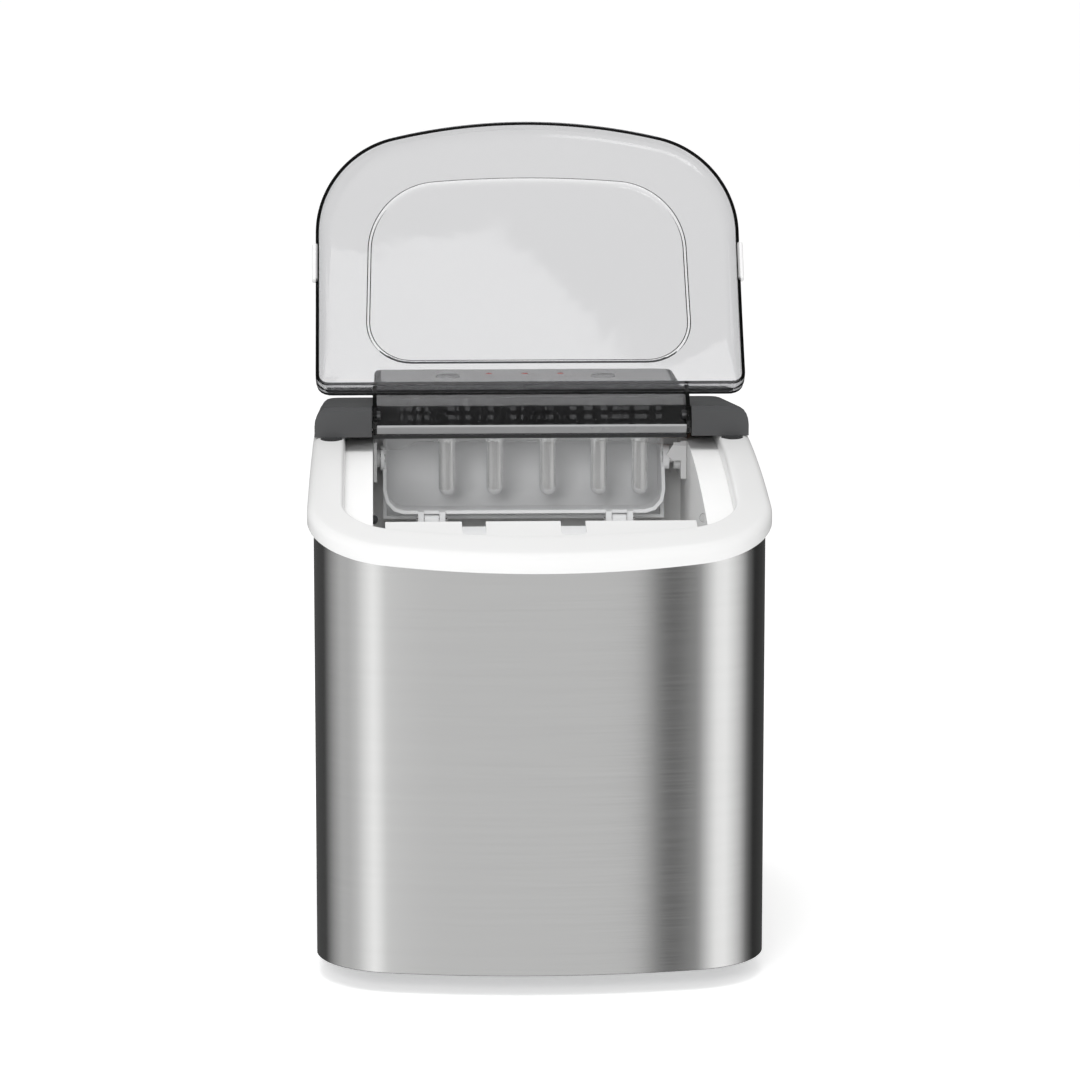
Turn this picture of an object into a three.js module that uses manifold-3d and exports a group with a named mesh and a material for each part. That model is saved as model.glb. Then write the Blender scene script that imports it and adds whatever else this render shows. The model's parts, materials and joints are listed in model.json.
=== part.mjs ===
// Countertop bullet-ice maker with its lid open. Millimetres, +Z up, front towards -Y.
import * as THREE from 'three';
import { mergeVertices } from 'three/addons/utils/BufferGeometryUtils.js';
import Module from 'manifold-3d';

const wasm = await Module();
wasm.setup();

// ---------- driving dimensions ----------
const gap = 0.3; // clearance between pieces that touch
const halfDepth = 181.5; // the whole object runs from -halfDepth to halfDepth in Y
const rimHalf = 142.2; // half width of the top frame, at the front
const rimHalfRear = 138; // and at the back
const crestY = 88; // where the top stops rising
const crestZ = 319.8; // height of the top frame there
const rimRise = 49.4; // how far its front edge lies below the crest
const skirt = 11; // height of the top frame's outer edge
const wall = 3; // thickness of moulded walls
const sheet = 0.8; // steel sheet
const footHeight = 12;
const wrapInset = 4;

const shoulderY = 14.8; // front face of the rear cover's shoulders
const coverFrontY = 44.8; // front face of the rear cover between them
const coverLowZ = 335.5; // top of the rear cover at the shoulders
const coverRise = 4.5; // and how much it rises to the back
const coverHalf = 139.4;
const shoulderLean = 0.08; // drop of the shoulders per length to the back
const consoleHalf = 101; // raised console between the shoulders
const consoleRear = 178.5;
const panelHalf = 96.5; // control panel on the console
const panelFront = 112;
const panelRear = 174.5;

const pivotY = 29; // lid hinge axis
const pivotZ = 328.5;
const lidOpen = THREE.MathUtils.degToRad(133); // from closed to its rest against the rear cover
const lidFront = 10.5 - halfDepth;
const lidHalf = 138.5;
const lidWall = 2.2;
const lidFrontHeight = 10; // height of the closed lid above the rim, at its front
const lidRearHeight = 15; // and at its hinge end
const gripFront = -90; // finger grips on the lid's sides
const gripRear = -64;
const tongueHalf = 101.9;
const tongueEndY = 43.2;
const tongueTop = 331; // flat top of the lid's tongue

const openingHalf = 120; // opening in the top frame
const openingFront = -156;
const collarDepth = 9;
const cavityHalf = 102; // inside of the liner
const cavityFront = -150;
const cavityRear = 104;
const tubFloor = 92;
const shelfFloor = 232; // floor of the liner under the tray

const sensorY = -100; // ice level sensors in the liner's side walls
const sensorZ = 280.7;

const buttonPlaces = [[-52, 134], [52, 134]]; // centres of the buttons, seen from above
const lensPlaces = [-24, 0, 24];
const lensY = 150;

const basketHalf = 91;
const basketRear = -6;
const basketBottom = 150;
const basketTop = 262;

const axisY = 61; // tilt axis of the water tray
const axisZ = 296.7;
const trayInner = 38; // inner radius of the tray's trough
const trayWall = 2.2;
const trayLeft = -95.5;
const trayRight = 88;
const trayBack = THREE.MathUtils.degToRad(57); // how far the tray rests tipped back
const hingeY = 37.6; // shovel hinge under the tray's lip
const hingeZ = 259.5;

const fingerRadius = 5.5;
const fingerBottom = 273;
const headerBottom = 311;
const fingerPlaces = [-54, -22.8, 11.7, 44.9, 71.7];

// ---------- the side profile ----------
function rimZ(y) {
  const back = Math.max(0, crestY - y) / (crestY + halfDepth);
  return crestZ - rimRise * back * back;
}

function coverTop(y) {
  const forward = (halfDepth - y) / (halfDepth - shoulderY);
  return coverLowZ + coverRise * (1 - forward * forward);
}

function lidTop(y) {
  const along = (y - lidFront) / (pivotY - lidFront);
  return rimZ(y) + THREE.MathUtils.lerp(lidFrontHeight, lidRearHeight, along);
}

// ---------- solids ----------
function solid(geometry) {
  const bare = geometry.clone();
  bare.deleteAttribute('normal');
  bare.deleteAttribute('uv');
  const merged = mergeVertices(bare, 1e-4);
  const vertProperties = Float32Array.from(merged.attributes.position.array);
  const triVerts = Uint32Array.from(merged.index.array);
  return new wasm.Manifold(new wasm.Mesh({ numProp: 3, vertProperties, triVerts }));
}

function join(...solids) {
  return solids.reduce((whole, next) => whole.add(next));
}

function cut(body, ...tools) {
  return tools.reduce((rest, tool) => rest.subtract(tool), body);
}

function geometryOf(body) {
  const { numProp, vertProperties, triVerts } = body.getMesh();
  const positions = new Float32Array((vertProperties.length / numProp) * 3);
  for (let i = 0; i < positions.length / 3; i++) {
    positions[3 * i] = vertProperties[numProp * i];
    positions[3 * i + 1] = vertProperties[numProp * i + 1];
    positions[3 * i + 2] = vertProperties[numProp * i + 2];
  }
  const geometry = new THREE.BufferGeometry();
  geometry.setAttribute('position', new THREE.BufferAttribute(positions, 3));
  geometry.setIndex(Array.from(triVerts));
  geometry.computeVertexNormals();
  return geometry;
}

// A box given by its lowest and highest corner.
function block(x0, x1, y0, y1, z0, z1) {
  const geometry = new THREE.BoxGeometry(x1 - x0, y1 - y0, z1 - z0);
  geometry.translate((x0 + x1) / 2, (y0 + y1) / 2, (z0 + z1) / 2);
  return solid(geometry);
}

// A plan outline, from points, pulled up between two heights.
function prism(points, z0, z1, bevel = null) {
  const options = { depth: z1 - z0, bevelEnabled: false };
  if (bevel) {
    Object.assign(options, {
      bevelEnabled: true,
      depth: z1 - z0 - 2 * bevel.height,
      bevelThickness: bevel.height,
      bevelSize: bevel.width,
      bevelOffset: -bevel.width,
      bevelSegments: bevel.steps,
    });
  }
  const geometry = new THREE.ExtrudeGeometry(new THREE.Shape(points), options);
  geometry.translate(0, 0, z0 + (bevel ? bevel.height : 0));
  return solid(geometry);
}

// A slab between two side profiles, across the whole width.
function sideBand(y0, y1, top, bottom, steps = 16, x0 = -200, x1 = 200) {
  const points = [];
  for (let i = 0; i <= steps; i++) {
    const y = THREE.MathUtils.lerp(y0, y1, i / steps);
    points.push(new THREE.Vector2(y, bottom(y)));
  }
  for (let i = steps; i >= 0; i--) {
    const y = THREE.MathUtils.lerp(y0, y1, i / steps);
    points.push(new THREE.Vector2(y, top(y)));
  }
  const options = { depth: x1 - x0, bevelEnabled: false };
  const geometry = new THREE.ExtrudeGeometry(new THREE.Shape(points), options);
  const toSide = new THREE.Matrix4().makeBasis(
    new THREE.Vector3(0, 1, 0),
    new THREE.Vector3(0, 0, 1),
    new THREE.Vector3(1, 0, 0),
  );
  geometry.applyMatrix4(toSide);
  geometry.translate(x0, 0, 0);
  return solid(geometry);
}

// A round bar along one axis: `at` gives the two other coordinates in X, Y, Z order.
function rod(axis, radius, from, to, at, sides = 16) {
  const geometry = new THREE.CylinderGeometry(radius, radius, to - from, sides);
  const middle = (from + to) / 2;
  if (axis === 'x') {
    geometry.rotateZ(Math.PI / 2);
    geometry.translate(middle, at[0], at[1]);
  } else if (axis === 'y') {
    geometry.translate(at[0], middle, at[1]);
  } else {
    geometry.rotateX(Math.PI / 2);
    geometry.translate(at[0], at[1], middle);
  }
  return solid(geometry);
}

// A turned piece standing on Z: pairs of radius and height.
function turned(profile, sides = 20) {
  const points = profile.map(([radius, height]) => new THREE.Vector2(radius, height));
  const geometry = new THREE.LatheGeometry(points, sides);
  geometry.rotateX(Math.PI / 2);
  return solid(geometry);
}

// A round tube or bar along a smooth path.
function tube(path, radius, steps = 24, sides = 8) {
  const stations = path.map((point) => new THREE.Vector3(...point));
  const curve = new THREE.CatmullRomCurve3(stations, false, 'centripetal');
  const section = new THREE.Shape();
  section.absarc(0, 0, radius, 0, 2 * Math.PI);
  const options = { steps, curveSegments: sides / 2, extrudePath: curve, bevelEnabled: false };
  return solid(new THREE.ExtrudeGeometry(section, options));
}

function arc(points, cx, cy, radius, from, to, steps) {
  for (let i = 0; i <= steps; i++) {
    const angle = THREE.MathUtils.lerp(from, to, i / steps);
    points.push(new THREE.Vector2(cx + radius * Math.cos(angle), cy + radius * Math.sin(angle)));
  }
}

// The D-shaped plan that the frame, wrap, pan and lid share: a shallow front arc, two round front
// corners, sides that draw in a little to the back, and two rear corners. `inset` shrinks it all round.
function planOutline(plan, inset = 0) {
  const half = plan.half - inset;
  const front = plan.front + inset;
  const frontArc = plan.frontArc - inset;
  const corner = plan.corner - inset;
  const rearHalf = plan.rearHalf - inset;
  const rear = plan.rear - inset;
  const rearCorner = Math.max(plan.rearCorner - inset, 0.5);
  const cx = half - corner;
  const centreY = front + frontArc;
  const cy = centreY - Math.sqrt((frontArc - corner) ** 2 - cx ** 2);
  const turn = Math.atan2(cy - centreY, cx);
  const points = [];
  arc(points, rearHalf - rearCorner, rear - rearCorner, rearCorner, 0, Math.PI / 2, 3);
  arc(points, rearCorner - rearHalf, rear - rearCorner, rearCorner, Math.PI / 2, Math.PI, 3);
  arc(points, -cx, cy, corner, Math.PI, Math.PI - turn, 6);
  arc(points, 0, centreY, frontArc, -Math.PI - turn + 0.04, turn - 0.04, 6);
  arc(points, cx, cy, corner, turn, 0, 6);
  return points;
}

function roundedRectangle(x0, x1, y0, y1, radius) {
  const points = [];
  arc(points, x1 - radius, y1 - radius, radius, 0, Math.PI / 2, 3);
  arc(points, x0 + radius, y1 - radius, radius, Math.PI / 2, Math.PI, 3);
  arc(points, x0 + radius, y0 + radius, radius, Math.PI, 1.5 * Math.PI, 3);
  arc(points, x1 - radius, y0 + radius, radius, 1.5 * Math.PI, 2 * Math.PI, 3);
  return points;
}

// ---------- shared plans ----------
const rimPlan = {
  half: rimHalf, rearHalf: rimHalfRear, front: -halfDepth, rear: halfDepth,
  frontArc: 430, corner: 60, rearCorner: 16,
};
const openingPlan = {
  half: openingHalf, rearHalf: openingHalf, front: openingFront, rear: 122,
  frontArc: 404, corner: 38, rearCorner: 6,
};
const lidPlan = {
  half: lidHalf, rearHalf: lidHalf, front: lidFront, rear: shoulderY - 1.6,
  frontArc: 379, corner: 66, rearCorner: 8,
};

// ---------- materials and nodes ----------
function material(color, roughness, metalness = 0, opacity = 1) {
  return new THREE.MeshStandardMaterial({ color, roughness, metalness, opacity, transparent: opacity < 1 });
}

const look = {
  steel: () => material(0xb9bab9, 0.34, 1),
  white: () => material(0xf4f4f2, 0.4),
  dark: () => material(0x3c3d3f, 0.45),
  grey: () => material(0xb4b6b8, 0.42),
  smoke: () => material(0x8d9092, 0.08, 0, 0.45),
  clear: () => material(0xe8ecec, 0.1, 0, 0.4),
  rubber: () => material(0x1b1b1c, 0.85),
  metal: () => material(0xc9cacb, 0.22, 1),
  copper: () => material(0xb06a40, 0.35, 1),
  zinc: () => material(0x9a9c9e, 0.5, 0.8),
  black: () => material(0x161718, 0.5),
  foam: () => material(0xe6ddc4, 0.95),
  board: () => material(0x1f5a36, 0.6),
  red: () => material(0xc0392b, 0.35),
};

const machine = new THREE.Group();
machine.name = 'ice_maker';

function add(name, body, surface, parent = machine) {
  const mesh = new THREE.Mesh(geometryOf(body), surface);
  mesh.name = name;
  parent.add(mesh);
  return mesh;
}

// ---------- casing ----------
const wrapRear = halfDepth - wrapInset;
const panelY = wrapRear - sheet - gap - 1.5; // front face of the rear panel
const panelScrews = [[-117, 268], [117, 268]]; // the panel's foot hooks into the base pan

function steelWrap() {
  const topOf = (y) => rimZ(y) - skirt + 5;
  const band = sideBand(-190, 190, topOf, () => footHeight);
  const outer = prism(planOutline(rimPlan, wrapInset), 0, 330);
  const inner = prism(planOutline(rimPlan, wrapInset + sheet), -1, 331);
  const doorway = block(-111, 111, 150, 190, -1, 331); // the rear panel's place
  const holes = panelScrews.map(([x, z]) => rod('y', 2.1, 170, 190, [x, z], 10));
  return cut(outer.intersect(band), inner, doorway, ...holes);
}

function basePan() {
  const inset = wrapInset + sheet + gap;
  const bottom = footHeight + 0.6;
  const outer = prism(planOutline(rimPlan, inset), bottom, 26);
  const hollow = prism(planOutline(rimPlan, inset + 1.2), bottom + 1.6, 27);
  const rearGap = block(-200, 200, panelY - gap, 200, bottom + 1.6, 27);
  return cut(outer, hollow, rearGap);
}

function foot() {
  return turned([[0, 0], [11, 0], [12, 1], [12.6, footHeight + gap], [0, footHeight + gap]], 20);
}

function rearPanel() {
  const plate = block(-123, 123, panelY, panelY + 1.5, 14.6, 304);
  const slots = [];
  for (let row = 0; row < 12; row++) {
    const z = 40 + row * 8;
    slots.push(block(20, 112, 160, 190, z, z + 3.6));
  }
  for (let row = 0; row < 6; row++) {
    const z = 216 + row * 8;
    slots.push(block(-50, 50, 160, 190, z, z + 3.6));
  }
  const holes = panelScrews.map(([x, z]) => rod('y', 2.1, 160, 190, [x, z], 10));
  const glandHole = rod('y', 6.4, 160, 190, [-98, 46], 16);
  const drainHole = rod('y', 9.4, 160, 190, [-8, 60], 20);
  return cut(plate, ...slots, ...holes, glandHole, drainHole);
}

function panelScrew(x, z) {
  const shank = rod('y', 1.7, 166, wrapRear + 1, [x, z], 10);
  const head = rod('y', 3.8, wrapRear + gap, wrapRear + 2.4, [x, z], 14);
  const cross = block(x - 0.5, x + 0.5, wrapRear + 1.6, wrapRear + 4, z - 2.4, z + 2.4);
  return cut(join(shank, head), cross);
}

function cordGland() {
  const barrel = rod('y', 6, panelY - 6, halfDepth - 0.5, [-98, 46], 18);
  const collar = rod('y', 9, panelY + 1.5 + gap, panelY + 4.6, [-98, 46], 18);
  const bore = rod('y', 3.4, 150, 200, [-98, 46], 14);
  return cut(join(barrel, collar), bore);
}

function drainPlug() {
  const stem = rod('y', 5.2, panelY - 14, panelY + 3, [-8, 60], 16);
  const cap = rod('y', 10.5, panelY + 1.5 + gap, panelY + 5, [-8, 60], 20);
  const grip = block(-9.5, -6.5, panelY + 4, halfDepth - 0.6, 52, 68);
  return join(stem, cap, grip);
}

// ---------- top frame and rear cover ----------
function topFrame() {
  const outer = prism(planOutline(rimPlan), 200, 360);
  const shell = outer.intersect(sideBand(-190, 190, rimZ, (y) => rimZ(y) - skirt, 16));
  const under = prism(planOutline(rimPlan, wall), 190, 361);
  const hollow = under.intersect(sideBand(-190, 190, (y) => rimZ(y) - wall, (y) => rimZ(y) - 40, 16));
  const opening = prism(planOutline(openingPlan), 190, 361);
  const collarOuter = prism(planOutline(openingPlan, -wall), 200, 360);
  const collarBand = sideBand(-190, 122, (y) => rimZ(y) - wall + 0.2, (y) => rimZ(y) - collarDepth, 14);
  const collar = collarOuter.intersect(collarBand);
  const pocket = sideBand(0, shoulderY, (y) => rimZ(y) + 5, (y) => rimZ(y) - 1.5, 4);
  const bumperHoles = [-128.4, 128.4].map((x) => rod('z', 7.5, 300, 330, [x, 12.5], 20).intersect(pocket));
  return cut(join(shell.subtract(hollow), collar), opening, ...bumperHoles);
}

function bumper(x) {
  const disc = rod('z', 7.2, 300, 330, [x, 12.5], 20);
  return disc.intersect(sideBand(0, shoulderY - gap, (y) => rimZ(y) + 0.4, (y) => rimZ(y) - 1.2, 4));
}

// The shoulders: the cover's plan, rounded at its outer top edge and leaning down to the back.
function shoulderForm(inset, height, width) {
  const plan = {
    half: coverHalf, rearHalf: rimHalfRear, front: -60, rear: halfDepth,
    frontArc: 430, corner: 30, rearCorner: 16,
  };
  const options = {
    depth: 80, bevelEnabled: true, bevelThickness: height,
    bevelSize: width, bevelOffset: -width, bevelSegments: 5,
  };
  const geometry = new THREE.ExtrudeGeometry(new THREE.Shape(planOutline(plan, inset)), options);
  geometry.translate(0, 0, coverLowZ - inset - 80 - height);
  const lean = new THREE.Matrix4();
  lean.elements[6] = -shoulderLean;
  geometry.applyMatrix4(lean);
  geometry.translate(0, 0, shoulderLean * shoulderY);
  return solid(geometry);
}

// The console between the shoulders, which carries the control panel.
function consoleForm(inset) {
  const outline = roundedRectangle(
    -consoleHalf + inset, consoleHalf - inset, coverFrontY + inset, consoleRear - inset, 6,
  );
  const body = prism(outline, 250, coverLowZ + coverRise - inset, { height: 3, width: 3, steps: 3 });
  return body.intersect(sideBand(0, 190, (y) => coverTop(y) - inset, () => 200, 10));
}

function rearCover() {
  const footing = sideBand(shoulderY, 190, () => 400, (y) => rimZ(y) + gap, 10);
  const square = block(-consoleHalf, consoleHalf, coverFrontY, coverFrontY + 8, 300, coverTop(coverFrontY) - 3);
  const outer = join(shoulderForm(0, 12, 8), consoleForm(0), square).intersect(footing);
  const recess = block(-102.5, 102.5, 0, coverFrontY, 290, 350);
  const slope = (y) => coverLowZ - 2.2 + y - shoulderY;
  const chamfer = sideBand(shoulderY - 1, shoulderY + 4, () => 350, slope, 2);
  const behindFront = block(-200, 200, shoulderY + wall, 190, 280, 400);
  const innerRecess = block(-102.5 - wall, 102.5 + wall, 0, coverFrontY + wall, 280, 360);
  const inner = join(shoulderForm(wall, 10, 6), consoleForm(wall)).intersect(behindFront).subtract(innerRecess);
  const apron = block(-101.7, 101.7, coverFrontY, coverFrontY + 1.8, headerBottom + 0.5, 325);
  const pinHoles = [-1, 1].map((side) => pinBore(side, 3.4, 100, 112));
  const [edge, from, to] = [panelHalf + gap, panelFront - gap, panelRear + gap];
  const pocket = sideBand(from, to, (y) => coverTop(y) + 5, (y) => coverTop(y) - 1.5, 6, -edge, edge);
  const holes = buttonPlaces.map(([x, y]) => rod('z', 8.3, 320, 350, [x, y], 18));
  const lensHoles = lensPlaces.map((x) => rod('z', 3, 320, 350, [x, lensY], 12));
  return cut(join(cut(outer, recess, inner, chamfer), apron), ...pinHoles, pocket, ...holes, ...lensHoles);
}

function ordered(a, b) {
  return [Math.min(a, b), Math.max(a, b)];
}

// A round bar on the lid's hinge axis, on one side of the machine.
function pinBore(side, radius, from, to) {
  return rod('x', radius, ...ordered(side * from, side * to), [pivotY, pivotZ], 14);
}

// ---------- controls ----------
function controlPanel() {
  const outline = roundedRectangle(-panelHalf, panelHalf, panelFront, panelRear, 3);
  const band = sideBand(panelFront - 1, panelRear + 1, (y) => coverTop(y) + 0.2, (y) => coverTop(y) - 1.2, 6);
  const plate = prism(outline, 300, 360).intersect(band);
  const holes = buttonPlaces.map(([x, y]) => rod('z', 8.3, 320, 350, [x, y], 18));
  const lensHoles = lensPlaces.map((x) => rod('z', 2.8, 320, 350, [x, lensY], 12));
  return cut(plate, ...holes, ...lensHoles);
}

function button([, y]) {
  const top = coverTop(y) + 1.6;
  const flange = coverTop(y) - wall - gap;
  return turned([
    [0, flange - 1.4], [9.6, flange - 1.4], [9.6, flange], [7.9, flange],
    [7.9, top - 0.7], [7.2, top], [0, top - 0.3],
  ], 20);
}

function lens() {
  const top = coverTop(lensY) + 0.5;
  return turned([[0, top - 8], [2.5, top - 8], [2.5, top - 0.6], [1.6, top], [0, top]], 12);
}

function controlBoard() {
  const top = 329;
  const sheetBody = block(-82, 82, 112, 166, top - 1.6, top);
  const switches = buttonPlaces.map(([x, y]) => block(x - 3, x + 3, y - 3, y + 3, top - 0.1, top + 1.9));
  const relay = block(-30, -12, 116, 130, top - 8, top - 1.5);
  const connector = block(8, 40, 116, 124, top - 7, top - 1.5);
  const drop = block(60, 76, 120, 136, top - 8, top - 1.5);
  return join(sheetBody, ...switches, relay, connector, drop);
}

// ---------- lid, modelled closed and turned open about its hinge ----------
function lidShell() {
  const outer = prism(planOutline(lidPlan), 200, 360);
  const shell = outer.intersect(sideBand(-190, 60, lidTop, (y) => rimZ(y) + 0.8, 24));
  const under = prism(planOutline(lidPlan, lidWall), 190, 361);
  const hollow = under.intersect(sideBand(-190, 60, (y) => lidTop(y) - lidWall, () => 200, 24));
  const gateway = block(-tongueHalf + 2.4, tongueHalf - 2.4, 5, 30, 290, lidTop(shoulderY) - lidWall - 0.2);
  const gripPlan = prism(roundedRectangle(-141.2, 141.2, gripFront, gripRear, 4), 200, 360);
  const gripBand = sideBand(gripFront - 2, gripRear + 2, (y) => rimZ(y) + 6.5, (y) => rimZ(y) + 1.2, 4);
  const between = block(-137, 137, gripFront - 2, gripRear + 2, 200, 360);
  const grips = gripPlan.intersect(gripBand).subtract(between);
  return join(cut(shell, hollow, gateway), grips);
}

function lidTongue() {
  const top = tongueTop;
  const plate = block(-tongueHalf, tongueHalf, 12, tongueEndY, top - lidWall, top);
  const lip = block(-tongueHalf, tongueHalf, tongueEndY - lidWall, tongueEndY, top - 9, top);
  const sides = [-1, 1].map((side) => {
    const [x0, x1] = ordered(side * (tongueHalf - 2.6), side * tongueHalf);
    return block(x0, x1, 8, tongueEndY, top - 11.5, top);
  });
  return join(plate, lip, ...sides);
}

function lid() {
  const holes = [-1, 1].map((side) => pinBore(side, 3.3, 96, 120));
  return cut(join(lidShell(), lidTongue()), ...holes);
}

function lidLabel() {
  const under = tongueTop - lidWall - gap;
  return prism(roundedRectangle(-84, 84, 15.5, 39.5, 2), under - 0.4, under);
}

function hingePin(side) {
  return pinBore(side, 3, 97, 109);
}

// ---------- liner, basket, insulation ----------
function liner() {
  const shell = 2.5;
  const top = (y) => rimZ(y) - collarDepth - gap;
  const tub = (inset) => prism(roundedRectangle(
    -cavityHalf - shell + inset, cavityHalf + shell - inset,
    cavityFront - shell + inset, 4 - inset, 14 - inset,
  ), tubFloor - shell + inset, 400);
  const shelf = (inset) => block(
    -cavityHalf - shell + inset, cavityHalf + shell - inset,
    -60, cavityRear + shell - inset, shelfFloor - shell + inset, 400,
  );
  const under = sideBand(-190, 190, top, () => 0, 20);
  const flangePlan = prism(planOutline({ ...openingPlan, rear: cavityRear + shell - 4 }, -4), 200, 360);
  const flange = flangePlan.intersect(sideBand(-190, 190, top, (y) => top(y) - 2.2, 20));
  const body = join(join(tub(0), shelf(0)).intersect(under), flange);
  const inside = join(tub(shell), shelf(shell));
  const ribs = [-1, 1].map((side) => {
    const [x0, x1] = ordered(side * 88, side * (cavityHalf + 0.5));
    return block(x0, x1, -130, -24, basketBottom - 8, basketBottom - 0.4);
  });
  const shaftHole = rod('x', 5.4, 90, 120, [axisY, axisZ], 16);
  const sensorHoles = rod('x', 3.2, -120, 120, [sensorY, sensorZ], 12);
  const drainHole = rod('y', 4, -10, 20, [-8, tubFloor + 8], 12);
  return cut(join(body.subtract(inside), ...ribs), shaftHole, sensorHoles, drainHole);
}


function iceSensor(side) {
  const length = ordered(side * (cavityHalf - 0.4), side * (cavityHalf + 9));
  const barrel = rod('x', 2.9, ...length, [sensorY, sensorZ], 14);
  const dome = new THREE.SphereGeometry(2.9, 14, 8);
  dome.translate(side * (cavityHalf - 0.4), sensorY, sensorZ);
  return join(barrel, solid(dome));
}

function iceBasket() {
  const shell = 2.2;
  const form = (inset) => prism(roundedRectangle(
    -basketHalf + inset, basketHalf - inset, -146 + inset, basketRear - inset, 14 - inset,
  ), basketBottom + inset, 300);
  const rim = sideBand(-190, 0, (y) => (y < -130 ? rimZ(y) - 7 : basketTop), () => 0, 60);
  const rearDrop = block(-basketHalf + 6, basketHalf - 6, -22, 10, 236, 300);
  const flangePlan = prism(planOutline(openingPlan, 1.3), 200, 360);
  const flangeBand = sideBand(-170, -124.3, (y) => rimZ(y) - 6.2, (y) => rimZ(y) - 8.8, 6);
  const flange = flangePlan.intersect(flangeBand).intersect(block(-94.5, 95, -170, -124, 200, 360));
  const throat = block(-200, 200, -143.8, 0, 0, 400);
  const frontWall = form(0).intersect(rim).subtract(throat);
  const box = cut(form(0).intersect(block(-200, 200, -200, 0, 0, basketTop)), form(shell), rearDrop);
  const notches = [[-47.9, -33.4], [12.2, 27.3]].map(([x0, x1]) => (
    prism(roundedRectangle(x0, x1, -142.6, -110, 3), 262, 320)
  ));
  const slots = [];
  for (let column = -3; column <= 3; column++) {
    for (const y of [-120, -76, -50]) {
      slots.push(block(column * 22 - 2, column * 22 + 2, y, y + 26, 140, 160));
    }
  }
  return cut(join(box, frontWall, flange), ...notches, ...slots);
}

function sideInsulation(side) {
  const [x0, x1] = ordered(side * (cavityHalf + 13), side * (cavityHalf + 28));
  return block(x0, x1, -100, 20, 60, 240);
}

function frontInsulation() {
  return block(-86, 86, -167, -154, 60, 250);
}

// ---------- evaporator, tray and shovel ----------
function finger(x, y) {
  const profile = [[0, fingerBottom], [2.4, fingerBottom + 0.5], [4.4, fingerBottom + 2.2]];
  profile.push([fingerRadius, fingerBottom + 5.5], [fingerRadius, headerBottom + 1], [0, headerBottom + 1]);
  return turned(profile, 12).translate([x, y, 0]);
}

function evaporator() {
  const header = prism(roundedRectangle(-64, 81, 47.4, 80, 4), headerBottom, headerBottom + 7);
  return join(header, ...fingerPlaces.map((x) => finger(x, 54)));
}

function splashGuard() {
  const top = headerBottom + 0.2;
  const edge = [
    [-101.5, top], [-101.5, 304.5], [-84, 304], [-78, 307], [-74, 309.4],
    [62, 309.4], [80, 307.4], [101.5, 305.6], [101.5, top],
  ].map(([x, z]) => new THREE.Vector2(x, z));
  const geometry = new THREE.ExtrudeGeometry(new THREE.Shape(edge), { depth: 1.5, bevelEnabled: false });
  geometry.rotateX(Math.PI / 2);
  geometry.translate(0, coverFrontY + 1.7, 0);
  return solid(geometry);
}

function waterTray() {
  const lipRadius = 14;
  const form = (inset) => {
    const drum = rod('x', trayInner + trayWall - inset, trayLeft + inset, trayRight - inset, [axisY, axisZ], 40);
    const [left, right] = [trayLeft + inset, trayRight - inset];
    const points = roundedRectangle(left, right, 262.8 + inset, 420, lipRadius - inset);
    const face = new THREE.ExtrudeGeometry(new THREE.Shape(points), { depth: 200, bevelEnabled: false });
    face.rotateX(Math.PI / 2);
    face.translate(0, axisY, 0);
    const behind = block(-120, 120, axisY - 0.1, 120, 200, 400);
    return drum.intersect(join(solid(face), behind));
  };
  const mouth = solid(new THREE.BoxGeometry(300, 100, 100).translate(0, 0, 50)
    .rotateX(trayBack).translate(0, axisY, axisZ));
  const roof = block(-120, 120, 0, 140, 318, 360);
  const shell = cut(form(0), form(trayWall), mouth, roof);
  const lugs = [[-73, -69.3], [-59.2, -55.4], [48.6, 52.4], [62.4, 66.2]].map(([x0, x1]) => (
    block(x0, x1, hingeY - 3.6, hingeY + 4.4, hingeZ - 3.4, hingeZ + 5.4)
  ));
  const pinHoles = rod('x', 1.8, -80, 80, [hingeY, hingeZ], 10);
  const leftHub = rod('x', 8, trayLeft - 1.5, trayLeft + 1, [axisY, axisZ], 18);
  const rightHub = rod('x', 8, trayRight - 1, trayRight + 3, [axisY, axisZ], 18);
  const shaftHole = rod('x', 4.1, trayRight - 10, trayRight + 10, [axisY, axisZ], 14);
  const pinHole = rod('x', 3.1, trayLeft - 10, trayLeft + 10, [axisY, axisZ], 14);
  const hubs = join(leftHub, rightHub).subtract(form(trayWall));
  return cut(join(shell, hubs, ...lugs), pinHoles, shaftHole, pinHole);
}

function shovelPin(x0, x1) {
  return rod('x', 1.5, x0, x1, [hingeY, hingeZ], 10);
}

function iceShovel() {
  const knuckles = [[-68.9, -59.6], [52.8, 62]].map(([x0, x1]) => (
    join(rod('x', 2.9, x0, x1, [hingeY, hingeZ], 12), block(x0, x1, 29.4, hingeY, hingeZ - 4.8, hingeZ - 2))
  ));
  const plate = solid(new THREE.ExtrudeGeometry(
    new THREE.Shape(
      [[32.5, 253.6], [30.5, 256], [9, 243.5], [10.2, 241.6]].map((p) => new THREE.Vector2(...p)),
    ),
    { depth: 162, bevelEnabled: false },
  ).applyMatrix4(new THREE.Matrix4().makeBasis(
    new THREE.Vector3(0, 1, 0), new THREE.Vector3(0, 0, 1), new THREE.Vector3(1, 0, 0),
  )).translate(-84, 0, 0));
  const bore = rod('x', 1.8, -80, 80, [hingeY, hingeZ], 10);
  return cut(join(plate, ...knuckles), bore);
}

function trayPin() {
  return rod('x', 2.8, -cavityHalf + 0.4, trayLeft + 1.5, [axisY, axisZ], 14);
}

function trayBearing() {
  const plate = block(-cavityHalf + 0.3, -cavityHalf + 2.6, axisY - 14, axisY + 14, axisZ - 14, axisZ + 12);
  const boss = rod('x', 6, -cavityHalf + 1, -cavityHalf + 4.6, [axisY, axisZ], 18);
  return cut(join(plate, boss), rod('x', 3.1, -120, -90, [axisY, axisZ], 14));
}

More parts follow.
